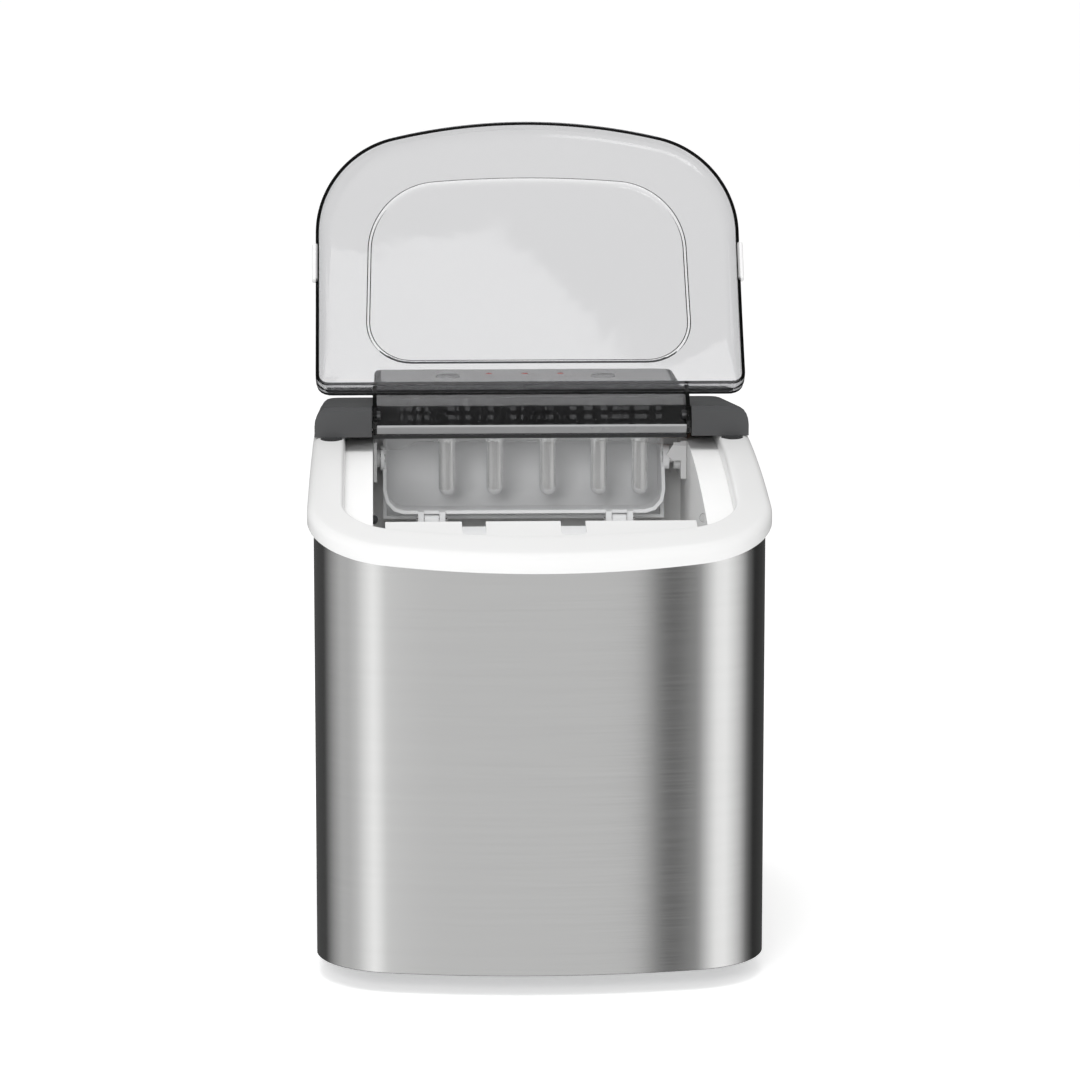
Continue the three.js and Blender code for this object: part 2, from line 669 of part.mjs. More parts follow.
function driveShaft() {
  return rod('x', 3.8, trayRight - 1.4, 110, [axisY, axisZ], 16);
}

function sideBracket() {
  const plate = block(98, cavityHalf - 0.3, 47, 84, 284, 309);
  const boss = rod('x', 8, 94, 99, [axisY, axisZ], 18);
  const web = block(93, 99, 47, 49.4, 296, 308);
  const fin = new THREE.ExtrudeGeometry(
    new THREE.Shape([[88.4, 299.5], [93.5, 295.5], [93.5, 307.5]].map((p) => new THREE.Vector2(...p))),
    { depth: 2.4, bevelEnabled: false },
  );
  fin.rotateX(Math.PI / 2);
  fin.translate(0, 49.4, 0);
  const bore = rod('x', 4.1, 80, 120, [axisY, axisZ], 16);
  return cut(join(plate, boss, web, solid(fin)), bore);
}

function trayMotor() {
  const left = cavityHalf + 2.5 + gap;
  const gearbox = block(left, left + 18, 40, 82, 264, 305);
  const drum = rod('y', 11, 16, 41, [left + 12, 280], 18);
  const bore = rod('x', 4.1, 90, 111, [axisY, axisZ], 16);
  return cut(join(gearbox, drum), bore);
}

// ---------- water circuit ----------
function waterPump() {
  const profile = [[0, 30], [20, 30], [20, 62], [14, 66], [14, 78], [0, 78]];
  const body = turned(profile, 20).translate([38, 36, 0]);
  const outlet = rod('x', 4, 14, 30, [36, 54], 12);
  const plate = block(14, 62, 14, 58, 27, 30.5);
  return join(body, outlet, plate);
}

function pumpHose() {
  const path = [
    [12.8, 36, 54], [8, 36, 55.6], [6, 40, 90], [6, 60, 140], [-30, 98, 200],
    [-66, 114, 226], [-100, 116, 256], [-110, 115, 290], [-110, 114.6, 308],
    [-110, 106, 315.8], [-110, 72, 316],
    [-107, 58, 316], [-98, 55, 316], [-84, 55, 316],
  ];
  return tube(path, 2.4, 44, 6);
}

function drainHose() {
  return tube([[-8, 4.8, 99.5], [-8, 26, 98], [-8, 90, 72], [-8, 130, 62], [-8, 156, 60]], 5.4, 20, 10);
}

// ---------- refrigeration ----------
const compressorPlace = [-68, 112];

function compressor() {
  const base = 22.3;
  const shell = turned([
    [0, base], [38, base], [45, base + 8], [46, base + 50], [46, base + 84],
    [40, base + 106], [26, base + 118], [0, base + 122],
  ], 28);
  const lugs = [0, 1, 2].map((i) => {
    const angle = Math.PI / 2 + i * 2 * Math.PI / 3;
    return rod('z', 10, base, base + 2.4, [46 * Math.cos(angle), 46 * Math.sin(angle)], 16);
  });
  const stubs = [[18, 12], [-14, -16]].map((at) => rod('z', 3.2, base + 100, base + 134, at, 10));
  return join(shell, ...lugs, ...stubs).translate([...compressorPlace, 0]);
}

function grommet(index) {
  const angle = Math.PI / 2 + index * 2 * Math.PI / 3;
  const x = compressorPlace[0] + 46 * Math.cos(angle);
  const y = compressorPlace[1] + 46 * Math.sin(angle);
  return turned([[0, 14.5], [8, 14.5], [6.6, 17], [8, 22], [0, 22]], 14).translate([x, y, 0]);
}

function condenser() {
  const core = block(14, 124, 98, 120, 30, 140);
  const fins = [];
  for (let row = 0; row < 13; row++) {
    const z = 34 + row * 8;
    fins.push(block(10, 128, 95, 100, z, z + 4));
  }
  return join(core, ...fins);
}

const fanPlace = [69, 85];

function fanShroud() {
  const frame = block(14, 124, 120.4, 136, 30, 140);
  const hollow = block(17, 121, 119, 132, 33, 137);
  const mouth = rod('y', 50, 118, 140, fanPlace, 32);
  return cut(frame, hollow, mouth);
}

function fanRotor() {
  const hub = rod('y', 14, 138, 150, fanPlace, 20);
  const blades = [];
  for (let i = 0; i < 5; i++) {
    const blade = new THREE.BoxGeometry(36, 1.6, 26);
    blade.rotateX(0.5);
    blade.translate(29, 144, 0);
    blade.rotateY(i * 2 * Math.PI / 5);
    blade.translate(fanPlace[0], 0, fanPlace[1]);
    blades.push(solid(blade));
  }
  return join(hub, ...blades);
}

function fanMotor() {
  const body = rod('y', 13, 151, 164, fanPlace, 20);
  const arms = block(14, 124, 158, 162, fanPlace[1] - 5, fanPlace[1] + 5);
  return join(body, arms);
}

function dischargePipe() {
  const [x, y] = compressorPlace;
  const path = [
    [x + 18, y + 12, 156.8], [x + 18, y + 12, 166], [x + 30, y + 12, 176], [-6, 118, 178],
    [8, 112, 168], [20, 109, 150], [20, 109, 140.4],
  ];
  return tube(path, 2.6, 22, 6);
}

function suctionPipe() {
  const [x, y] = compressorPlace;
  const path = [
    [81.4, 58, 314.6], [96, 58, 314.6], [105, 62, 314.6], [108, 72, 315.2], [108, 100, 315.4],
    [107.5, 114.6, 308], [104, 115, 296], [80, 112, 262], [10, 112, 214], [-50, 104, 190],
    [x - 14, y - 16, 172], [x - 14, y - 16, 156.8],
  ];
  return tube(path, 2.6, 40, 6);
}

function feedPipe() {
  const path = [
    [81.4, 68, 314.6], [90, 68, 314.6], [97, 72, 314.6], [100, 80, 314.6], [100, 102, 314.6],
    [98.5, 115, 307],
    [94, 116, 290], [66, 120, 240], [46, 122, 206], [44, 122, 190.4],
  ];
  return tube(path, 1.5, 34, 6);
}

function filterDrier() {
  const body = turned([
    [0, 148], [2.4, 148], [2.4, 152], [8, 158], [8, 180], [2.4, 186], [2.4, 190], [0, 190],
  ], 16);
  return body.translate([44, 122, 0]);
}

function hotGasValve() {
  const coil = block(-18, 8, 128, 150, 186, 212);
  const stem = rod('z', 6, 178, 187, [-5, 139], 14);
  const port = rod('x', 3, -28, 18, [139, 182], 10);
  return join(coil, stem, port);
}

// ---------- assembly ----------
add('steel_wrap', steelWrap(), look.steel());
add('base_pan', basePan(), look.zinc());
const footPlaces = {
  front_left: [-100, -98], front_right: [100, -98], rear_left: [-104, 142], rear_right: [104, 142],
};
for (const [place, [x, y]] of Object.entries(footPlaces)) {
  add(`foot_${place}`, foot(), look.rubber()).position.set(x, y, 0);
}
add('rear_panel', rearPanel(), look.zinc());
['panel_screw_left', 'panel_screw_right'].forEach((name, i) => {
  add(name, panelScrew(...panelScrews[i]), look.metal());
});
add('cord_gland', cordGland(), look.black());
add('drain_plug', drainPlug(), look.black());
add('top_frame', topFrame(), look.white());
add('lid_bumper_left', bumper(-128.4), look.rubber());
add('lid_bumper_right', bumper(128.4), look.rubber());
add('rear_cover', rearCover(), look.dark());
add('control_panel', controlPanel(), look.grey());
['power_button', 'select_button'].forEach((name, i) => {
  const [x, y] = buttonPlaces[i];
  add(name, button(buttonPlaces[i]), look.dark()).position.set(x, y, 0);
});
['power_lens', 'add_water_lens', 'ice_full_lens'].forEach((name, i) => {
  add(name, lens(), look.red()).position.set(lensPlaces[i], lensY, 0);
});
add('control_board', controlBoard(), look.board());

const lidGroup = new THREE.Group();
lidGroup.position.set(0, pivotY, pivotZ);
lidGroup.rotation.x = -lidOpen;
machine.add(lidGroup);
const closedLid = new THREE.Group();
closedLid.position.set(0, -pivotY, -pivotZ);
lidGroup.add(closedLid);
add('lid', lid(), look.smoke(), closedLid);
add('lid_label', lidLabel(), look.clear(), closedLid);
add('lid_hinge_pin_left', hingePin(-1), look.metal(), closedLid);
add('lid_hinge_pin_right', hingePin(1), look.metal(), closedLid);

add('liner', liner(), look.white());
add('ice_sensor_receiver', iceSensor(-1), look.black());
add('ice_sensor_emitter', iceSensor(1), look.clear());
add('ice_basket', iceBasket(), look.white());
add('side_insulation_left', sideInsulation(-1), look.foam());
add('side_insulation_right', sideInsulation(1), look.foam());
add('front_insulation', frontInsulation(), look.foam());

add('evaporator', evaporator(), look.metal());
add('splash_guard', splashGuard(), look.clear());
add('water_tray', waterTray(), look.grey());
add('ice_shovel', iceShovel(), look.grey());
add('shovel_pin_left', shovelPin(-74.4, -54), look.metal());
add('shovel_pin_right', shovelPin(47.2, 67.6), look.metal());
add('tray_pin', trayPin(), look.metal());
add('tray_bearing', trayBearing(), look.white());
add('drive_shaft', driveShaft(), look.metal());
add('side_bracket', sideBracket(), look.clear());
add('tray_motor', trayMotor(), look.black());

add('water_pump', waterPump(), look.black());
add('pump_hose', pumpHose(), look.clear());
add('drain_hose', drainHose(), look.clear());
add('compressor', compressor(), look.black());
for (let i = 0; i < 3; i++) {
  add(`compressor_grommet_${i + 1}`, grommet(i), look.rubber());
}
add('condenser', condenser(), look.metal());
add('fan_shroud', fanShroud(), look.black());
add('fan_rotor', fanRotor(), look.black());
add('fan_motor', fanMotor(), look.black());
add('discharge_pipe', dischargePipe(), look.copper());
add('suction_pipe', suctionPipe(), look.copper());
add('feed_pipe', feedPipe(), look.copper());
add('filter_drier', filterDrier(), look.copper());
add('hot_gas_valve', hotGasValve(), look.zinc());

export default machine;
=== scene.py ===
import json
import math
import bmesh
import bpy
import numpy as np
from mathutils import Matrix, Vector


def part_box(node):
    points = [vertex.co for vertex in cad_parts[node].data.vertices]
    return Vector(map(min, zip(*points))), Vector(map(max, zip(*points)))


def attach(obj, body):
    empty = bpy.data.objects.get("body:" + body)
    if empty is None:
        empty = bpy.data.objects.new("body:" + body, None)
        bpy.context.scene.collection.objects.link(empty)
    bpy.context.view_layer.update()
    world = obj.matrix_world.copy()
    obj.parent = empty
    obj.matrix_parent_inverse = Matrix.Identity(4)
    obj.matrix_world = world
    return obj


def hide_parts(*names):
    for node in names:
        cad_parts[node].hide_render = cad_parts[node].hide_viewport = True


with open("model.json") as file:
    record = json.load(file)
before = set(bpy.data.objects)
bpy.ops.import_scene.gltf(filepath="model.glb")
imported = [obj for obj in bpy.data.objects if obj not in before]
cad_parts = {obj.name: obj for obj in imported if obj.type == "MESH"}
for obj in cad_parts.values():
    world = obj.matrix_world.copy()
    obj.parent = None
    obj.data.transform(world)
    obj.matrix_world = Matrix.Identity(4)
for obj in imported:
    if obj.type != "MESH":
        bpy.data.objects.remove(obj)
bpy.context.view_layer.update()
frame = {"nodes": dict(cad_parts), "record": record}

mm = 0.001


# a shell is its points in millimetres, its quads and its triangles; addPiece turns it into metres
def gridQuads(rows, cols, wrapRows, wrapCols):
    # quad (i, j) joins grid points (i, j), (i+1, j), (i+1, j+1), (i, j+1), wrapping where asked
    i = np.arange(rows if wrapRows else rows - 1)
    j = np.arange(cols if wrapCols else cols - 1)
    i, j = np.meshgrid(i, j, indexing="ij")
    ni, nj = (i + 1) % rows, (j + 1) % cols
    return np.stack([i * cols + j, ni * cols + j, ni * cols + nj, i * cols + nj], -1).reshape(-1, 4)


def fan(ring, centre):
    # triangles from the centre point to each pair of neighbours on a closed ring of point numbers
    return np.stack([ring, np.roll(ring, -1), np.full(len(ring), centre)], -1)


def loft(rings, wrapRows=False, wrapCols=True, caps=True):
    # rings[i, j] is point j of section i; open ends are closed by a fan to the section's mean point
    rings = np.asarray(rings, float)
    rows, cols = rings.shape[:2]
    points = rings.reshape(-1, 3)
    quads = gridQuads(rows, cols, wrapRows, wrapCols)
    tris = []
    if caps and wrapCols and not wrapRows:
        ends = [np.arange(cols), ((rows - 1) * cols + np.arange(cols))[::-1]]
    elif caps and wrapRows and not wrapCols:
        ends = [(np.arange(rows) * cols)[::-1], np.arange(rows) * cols + cols - 1]
    else:
        ends = []
    for ring in ends:
        tris.append(fan(ring, len(points)))
        points = np.vstack([points, points[ring].mean(0)])
    return points, quads, (np.vstack(tris) if tris else np.zeros((0, 3), int))


def joined(*shells):
    # several closed shells as one set of arrays
    points, quads, tris, at = [], [], [], 0
    for p, q, t in shells:
        points.append(p)
        quads.append(q + at)
        tris.append(t + at)
        at += len(p)
    return np.vstack(points), np.vstack(quads), np.vstack(tris)


def facingOut(shell):
    # six times the volume is the sum of a . (b x c) over the triangles; a negative one is turned round
    p, q, t = shell
    allTris = np.vstack([q[:, [0, 1, 2]], q[:, [0, 2, 3]], t])
    a, b, c = (p[allTris[:, k]] for k in range(3))
    if np.einsum("ij,ij->i", a, np.cross(b, c)).sum() < 0:
        return p, q[:, ::-1], t[:, ::-1]
    return shell


def addPiece(name, shell, material, body, nodes=(), sharpAngle=35, bevel=0.0):
    points, quads, tris = shell
    mesh = bpy.data.meshes.new(name)
    mesh.vertices.add(len(points))
    mesh.vertices.foreach_set("co", (points * mm).astype(np.float32).ravel())
    loops = np.concatenate([quads.ravel(), tris.ravel()])
    starts = np.concatenate([np.arange(len(quads)) * 4, len(quads) * 4 + np.arange(len(tris)) * 3])
    mesh.loops.add(len(loops))
    mesh.loops.foreach_set("vertex_index", loops.astype(np.int32))
    mesh.polygons.add(len(starts))
    mesh.polygons.foreach_set("loop_start", starts.astype(np.int32))
    mesh.update(calc_edges=True)
    mesh.validate()
    return placed(name, mesh, material, body, nodes, sharpAngle, bevel)


seeThrough = ("smokyPlastic", "clearPlastic", "printedFilm")
finished = set()  # nodes that a piece of this script already stands for


def placed(name, mesh, material, body, nodes, sharpAngle, bevel):
    mesh.shade_smooth()
    mesh.set_sharp_from_angle(angle=math.radians(sharpAngle))
    mesh.materials.clear()
    mesh.materials.append(material)
    piece = bpy.data.objects.new(name, mesh)
    bpy.context.scene.collection.objects.link(piece)
    if bevel:
        soften = piece.modifiers.new("edges", "BEVEL")
        soften.width = bevel * mm
        soften.segments = 2
        soften.limit_method = "ANGLE"
        soften.angle_limit = math.radians(38)
        soften.harden_normals = True
    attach(piece, body)
    if nodes:
        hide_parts(*nodes)
        finished.update(nodes)
    if material.name in seeThrough:
        piece.visible_shadow = False  # soft light passes
        piece.visible_diffuse = False
    return piece


def bodyOf(node):
    bodies = frame["record"]["behaviour"]["bodies"]
    return next(body for body, names in bodies.items() if node in names)


def slotOf(node):
    return next(s["material_slot"] for s in frame["record"]["subparts"] if s["node"] == node)


def dressed(node, material, bevel=0.3, sharpAngle=32):
    # a copy of the solid with its doubles merged, flat faces made whole and edges eased
    mesh = frame["nodes"][node].data.copy()
    work = bmesh.new()
    work.from_mesh(mesh)
    bmesh.ops.remove_doubles(work, verts=work.verts, dist=2e-6)
    bmesh.ops.dissolve_limit(work, angle_limit=math.radians(0.4), verts=work.verts, edges=work.edges)
    work.to_mesh(mesh)
    work.free()
    return placed("look_" + node, mesh, material, bodyOf(node), [node], sharpAngle, bevel)


def turnedShell(profile, at=(0, 0, 0), axis="z", steps=48):
    # x = r cos t, y = r sin t, z = h for each pair (r, h); the first and last pair lie on the axis
    profile = np.array(profile, float)
    t = np.linspace(0, 2 * np.pi, steps, endpoint=False)
    r, h = profile[1:-1, 0][:, None], profile[1:-1, 1][:, None]
    ring = np.stack([r * np.cos(t), r * np.sin(t), h + 0 * t], -1)
    points, quads, tris = loft(ring)
    points[-2:] = [[0, 0, profile[0, 1]], [0, 0, profile[-1, 1]]]
    if axis == "x":
        points = points[:, [2, 0, 1]]
    if axis == "y":
        points = points[:, [1, 2, 0]]
    return facingOut((points + np.array(at, float), quads, tris))


def roundBox(low, high, radius, steps=4):
    # sections at heights z, each a rectangle with corner radius r, drawn in by r (1 - cos) at both ends
    low, high = np.array(low, float), np.array(high, float)
    turn = np.linspace(0, np.pi / 2, steps + 1)
    inset = np.concatenate([radius * (1 - np.sin(turn)), radius * (1 - np.cos(turn))])
    height = np.concatenate([low[2] + radius * (1 - np.cos(turn)), high[2] - radius * (1 - np.sin(turn))])
    middle, half = (low + high) / 2, (high - low) / 2
    a = np.linspace(0, 2 * np.pi, 4 * (steps + 1), endpoint=False) + np.pi / (4 * (steps + 1))
    quarter = np.floor(a / (np.pi / 2)).astype(int)
    sx = np.where((quarter == 0) | (quarter == 3), 1, -1)
    sy = np.where(quarter < 2, 1, -1)
    a = quarter * np.pi / 2 + np.tile(np.linspace(0, np.pi / 2, steps + 1), 4)
    rings = []
    for d, z in zip(inset, height):
        r = max(radius - d, 0.02)
        x = middle[0] + sx * (half[0] - d - r) + r * np.cos(a)
        y = middle[1] + sy * (half[1] - d - r) + r * np.sin(a)
        rings.append(np.stack([x, y, np.full_like(x, z)], -1))
    return facingOut(loft(rings))


def alongX(profile, x0, x1):
    # a closed outline of (y, z) carried straight along X
    profile = np.array(profile, float)
    rings = [np.column_stack([np.full(len(profile), x), profile]) for x in (x0, x1)]
    return facingOut(loft(rings))


# plans seen from above, shared by the wrap, the rim, the mouth and the lid
plan = dict(half=142.2, rearHalf=138, front=-181.5, rear=181.5, frontArc=430, corner=60, rearCorner=16)
mouthPlan = dict(half=120, rearHalf=120, front=-156, rear=122, frontArc=404, corner=38, rearCorner=6)
lidPlan = dict(half=138.5, rearHalf=138.5, front=-171, rear=13.2, frontArc=379, corner=66, rearCorner=8)


def arcPoints(cx, cy, radius, start, end, steps):
    # x = cx + r cos t, y = cy + r sin t, with the end angle left out
    t = np.linspace(start, end, steps, endpoint=False)
    return np.column_stack([cx + radius * np.cos(t), cy + radius * np.sin(t)])


def planOutline(shape, inset=0.0):
    # a shallow front arc, two round front corners, two straight sides and two rear corners
    half, front = shape["half"] - inset, shape["front"] + inset
    frontArc, corner = shape["frontArc"] - inset, shape["corner"] - inset
    rearHalf, rear = shape["rearHalf"] - inset, shape["rear"] - inset
    rearCorner = max(shape["rearCorner"] - inset, 0.5)
    cx = half - corner
    centreY = front + frontArc
    cy = centreY - math.sqrt((frontArc - corner) ** 2 - cx ** 2)
    turn = math.atan2(cy - centreY, cx)
    side = np.linspace(0, 1, 48, endpoint=False)[:, None]
    back = np.linspace(0, 1, 24, endpoint=False)[:, None]
    rearRight, rearLeft = np.array([rearHalf, rear - rearCorner]), np.array([-rearHalf, rear - rearCorner])
    backRight, backLeft = np.array([rearHalf - rearCorner, rear]), np.array([rearCorner - rearHalf, rear])
    frontRight, frontLeft = np.array([half, cy]), np.array([-half, cy])
    return np.vstack([
        arcPoints(rearHalf - rearCorner, rear - rearCorner, rearCorner, 0, np.pi / 2, 10),
        backRight + (backLeft - backRight) * back,
        arcPoints(rearCorner - rearHalf, rear - rearCorner, rearCorner, np.pi / 2, np.pi, 10),
        rearLeft + (frontLeft - rearLeft) * side,
        arcPoints(-cx, cy, corner, np.pi, np.pi - turn, 30),
        arcPoints(0, centreY, frontArc, -np.pi - turn, turn, 64),
        arcPoints(cx, cy, corner, turn, 0, 30),
        frontRight + (rearRight - frontRight) * side,
    ])


rimCurve = dict(top=319.8, fall=49.4, bend=88, reach=269.5)


def rimZ(y):
    # level behind the bend; ahead of it z = top - fall * ((bend - y) / reach) squared
    ahead = np.maximum(0, rimCurve["bend"] - y)
    return rimCurve["top"] - rimCurve["fall"] * (ahead / rimCurve["reach"]) ** 2


def onRim(outline, drop):
    # lifts plan points to the rim's side profile, lowered by drop
    return np.column_stack([outline, rimZ(outline[:, 1]) - drop])


def newMaterial(name):
    material = bpy.data.materials.new(name)
    material.use_nodes = True
    tree = material.node_tree
    return material, tree, tree.nodes["Principled BSDF"]


def patternAt(tree, scale, stretch=(1, 1, 1), detail=3.0, rough=0.6):
    place = tree.nodes.new("ShaderNodeTexCoord")
    mapping = tree.nodes.new("ShaderNodeMapping")
    mapping.inputs["Scale"].default_value = stretch
    noise = tree.nodes.new("ShaderNodeTexNoise")
    noise.inputs["Scale"].default_value = scale
    noise.inputs["Detail"].default_value = detail
    noise.inputs["Roughness"].default_value = rough
    tree.links.new(place.outputs["Object"], mapping.inputs["Vector"])
    tree.links.new(mapping.outputs["Vector"], noise.inputs["Vector"])
    return noise.outputs["Fac"]


def spread(tree, source, low, high, start=0.3, end=0.7):
    span = tree.nodes.new("ShaderNodeMapRange")
    span.inputs["From Min"].default_value = start
    span.inputs["From Max"].default_value = end
    span.inputs["To Min"].default_value = low
    span.inputs["To Max"].default_value = high
    tree.links.new(source, span.inputs["Value"])
    return span.outputs["Result"]


def grey(level):
    return level, level, level, 1


def fed(tree, socket, source):
    # a node's output is linked to the socket, a plain value is set on it
    if isinstance(source, bpy.types.NodeSocket):
        tree.links.new(source, socket)
    else:
        socket.default_value = source


def mixed(tree, factor, first, second):
    mix = tree.nodes.new("ShaderNodeMix")
    mix.data_type = "RGBA"
    fed(tree, mix.inputs["Factor"], factor)
    fed(tree, mix.inputs["A"], first)
    fed(tree, mix.inputs["B"], second)
    return mix.outputs["Result"]


def worked(tree, operation, *values):
    node = tree.nodes.new("ShaderNodeMath")
    node.operation = operation
    for socket, value in zip(node.inputs, values):
        fed(tree, socket, value)
    return node.outputs["Value"]


def bumped(tree, shader, source, depth):
    bump = tree.nodes.new("ShaderNodeBump")
    bump.inputs["Distance"].default_value = depth
    tree.links.new(source, bump.inputs["Height"])
    tree.links.new(bump.outputs["Normal"], shader.inputs["Normal"])


def finish(name, color, rough, metal=0.0, vary=0.04, grain=900, depth=0.00002, patch=14, coat=0.0):
    # a moulded or drawn surface: slow colour drift, fine grain in the bump, uneven gloss
    material, tree, shader = newMaterial(name)
    slow = patternAt(tree, patch, detail=4)
    fine = patternAt(tree, grain, detail=2)
    dark = [c * (1 - vary) for c in color]
    light = [min(1, c * (1 + vary * 0.5)) for c in color]
    tree.links.new(mixed(tree, slow, (*dark, 1), (*light, 1)), shader.inputs["Base Color"])
    tree.links.new(spread(tree, slow, rough * 0.85, min(1, rough * 1.2)), shader.inputs["Roughness"])
    shader.inputs["Metallic"].default_value = metal
    if coat:
        shader.inputs["Coat Weight"].default_value = coat
        shader.inputs["Coat Roughness"].default_value = 0.12
    bumped(tree, shader, fine, depth)
    return material


def brushedSteel():
    # fine level scratches, broad faint bands and slow smudges; the gloss is stretched upright
    steel = dict(color=(0.66, 0.66, 0.655), rough=0.22, stretch=0.95, lines=1500, scratch=0.035,
                 depth=0.000012)
    material, tree, shader = newMaterial("brushedSteel")
    lines = patternAt(tree, steel["lines"], (0.012, 0.012, 1), 2, 0.5)
    broad = patternAt(tree, 260, (0.006, 0.006, 1), 3, 0.6)
    smudge = patternAt(tree, 9, detail=4)
    dark = [c * 0.95 for c in steel["color"]]
    tree.links.new(mixed(tree, broad, (*dark, 1), (*steel["color"], 1)), shader.inputs["Base Color"])
    fine = spread(tree, lines, -steel["scratch"], steel["scratch"])
    slow = spread(tree, smudge, steel["rough"] * 0.95, steel["rough"] * 1.06)
    tree.links.new(worked(tree, "ADD", fine, slow), shader.inputs["Roughness"])
    shader.inputs["Metallic"].default_value = 1.0
    shader.inputs["Anisotropic"].default_value = steel["stretch"]
    shader.inputs["Anisotropic Rotation"].default_value = 0.25
    around = tree.nodes.new("ShaderNodeTangent")
    around.direction_type = "RADIAL"
    around.axis = "Z"
    tree.links.new(around.outputs["Tangent"], shader.inputs["Tangent"])
    bumped(tree, shader, lines, steel["depth"])
    return material


def smokyPlastic(name, density):
    # clear outside and grey all through, so that thicker stretches look darker
    smoke = dict(tint=(0.95, 0.95, 0.955), shade=(0.30, 0.30, 0.31), rough=0.035, bend=1.49, wave=26,
                 depth=0.00012)
    material, tree, shader = newMaterial(name)
    shader.inputs["Base Color"].default_value = (*smoke["tint"], 1)
    shader.inputs["Transmission Weight"].default_value = 1.0
    shader.inputs["IOR"].default_value = smoke["bend"]
    wave = patternAt(tree, smoke["wave"], detail=2)
    tree.links.new(spread(tree, wave, smoke["rough"] * 0.6, smoke["rough"] * 1.5), shader.inputs["Roughness"])
    bumped(tree, shader, wave, smoke["depth"])
    inside = tree.nodes.new("ShaderNodeVolumeAbsorption")
    inside.inputs["Color"].default_value = (*smoke["shade"], 1)
    inside.inputs["Density"].default_value = density
    tree.links.new(inside.outputs["Volume"], tree.nodes["Material Output"].inputs["Volume"])
    return material


def clearPlastic(name, tint, rough):
    material, tree, shader = newMaterial(name)
    shader.inputs["Base Color"].default_value = (*tint, 1)
    shader.inputs["Transmission Weight"].default_value = 1.0
    shader.inputs["IOR"].default_value = 1.46
    wave = patternAt(tree, 60, detail=3)
    tree.links.new(spread(tree, wave, rough * 0.7, rough * 1.4), shader.inputs["Roughness"])
    bumped(tree, shader, wave, 0.0001)
    return material


def printedFilm():
    # a clear film with two rows of short grey dashes, as a care label has from far off
    marking = dict(color=(0.42, 0.42, 0.43), rough=0.35, cover=0.035, dash=240, row=0.0025)
    material, tree, shader = newMaterial("printedFilm")
    place = tree.nodes.new("ShaderNodeTexCoord")
    apart = tree.nodes.new("ShaderNodeSeparateXYZ")
    tree.links.new(place.outputs["Object"], apart.inputs["Vector"])
    dash = patternAt(tree, marking["dash"], (1, 0.05, 0.05), 1, 0.5)
    marks = spread(tree, dash, 0, 1, 0.5, 0.56)
    rows = worked(tree, "PINGPONG", apart.outputs["Z"], marking["row"])
    band = spread(tree, rows, 0, 1, 0.0012, 0.0014)
    both = worked(tree, "MULTIPLY", marks, band)
    tree.links.new(worked(tree, "MULTIPLY", both, marking["cover"]), shader.inputs["Alpha"])
    shader.inputs["Base Color"].default_value = (*marking["color"], 1)
    shader.inputs["Roughness"].default_value = marking["rough"]
    return material


looks = {
    "steel": brushedSteel(),
    "white_plastic": finish("whitePlastic", (0.73, 0.73, 0.727), 0.34, vary=0.015,
                            grain=1400, depth=0.000012, coat=0.15),
    "dark_plastic": finish("darkPlastic", (0.062, 0.063, 0.065), 0.42, vary=0.08, grain=2200, depth=0.00003),
    "smoked_plastic": smokyPlastic("smokyPlastic", 215),
    "clear_plastic": clearPlastic("clearPlastic", (0.88, 0.88, 0.88), 0.05),
    "grey_plastic": finish("greyPlastic", (0.88, 0.885, 0.89), 0.36, vary=0.03, grain=1300, depth=0.000015),
    "button_plastic": finish("buttonPlastic", (0.05, 0.052, 0.055), 0.28, coat=0.3),
    "indicator_lens": finish("indicatorLens", (0.55, 0.05, 0.03), 0.16, coat=0.6),
    "rubber": finish("rubber", (0.022, 0.022, 0.024), 0.55, vary=0.1, grain=1800, depth=0.00004),
    "bright_metal": finish("brightMetal", (0.80, 0.80, 0.80), 0.10, metal=1.0,
                           vary=0.05, grain=700, depth=0.00002),
    "galvanised_steel": finish("galvanisedSteel", (0.55, 0.56, 0.57), 0.38, metal=1.0,
                               vary=0.14, grain=500, patch=60),
    "black_plastic": finish("blackPlastic", (0.024, 0.025, 0.027), 0.42, vary=0.03,
                            grain=1700, depth=0.00003),
    "compressor_paint": finish("compressorPaint", (0.02, 0.02, 0.022), 0.3, vary=0.1, coat=0.4),
    "aluminium": finish("aluminium", (0.80, 0.81, 0.82), 0.3, metal=1.0, vary=0.06, grain=900),
    "copper": finish("copper", (0.78, 0.36, 0.2), 0.3, metal=1.0, vary=0.18, grain=400, patch=50),
    "foam": finish("foam", (0.80, 0.72, 0.52), 0.9, vary=0.1, grain=500, depth=0.0003),
    "circuit_board": finish("circuitBoard", (0.03, 0.17, 0.07), 0.35, vary=0.15, coat=0.3),
}
linerWhite = finish("linerWhite", (0.88, 0.88, 0.875), 0.38)
plated = finish("platedMetal", (0.90, 0.90, 0.90), 0.2, metal=0.8, vary=0.04, grain=700, depth=0.00002)
milky = finish("milkyPlastic", (0.74, 0.74, 0.74), 0.35)
frosted = finish("frostedSmoke", (0.36, 0.36, 0.365), 0.3, vary=0.05, coat=0.4)
deepSmoke = smokyPlastic("smokyTonguePlastic", 820)
panelGrey = finish("panelGrey", (0.38, 0.38, 0.385), 0.34, vary=0.12, grain=600, depth=0.00004, patch=120)
keyGrey = finish("keyGrey", (0.24, 0.24, 0.245), 0.24, coat=0.3)
bumperRubber = finish("bumperRubber", (0.018, 0.018, 0.019), 0.16, coat=0.9)
pinSteel = finish("pinSteel", (0.22, 0.22, 0.225), 0.34, metal=1.0)
print("materials:", len(looks))


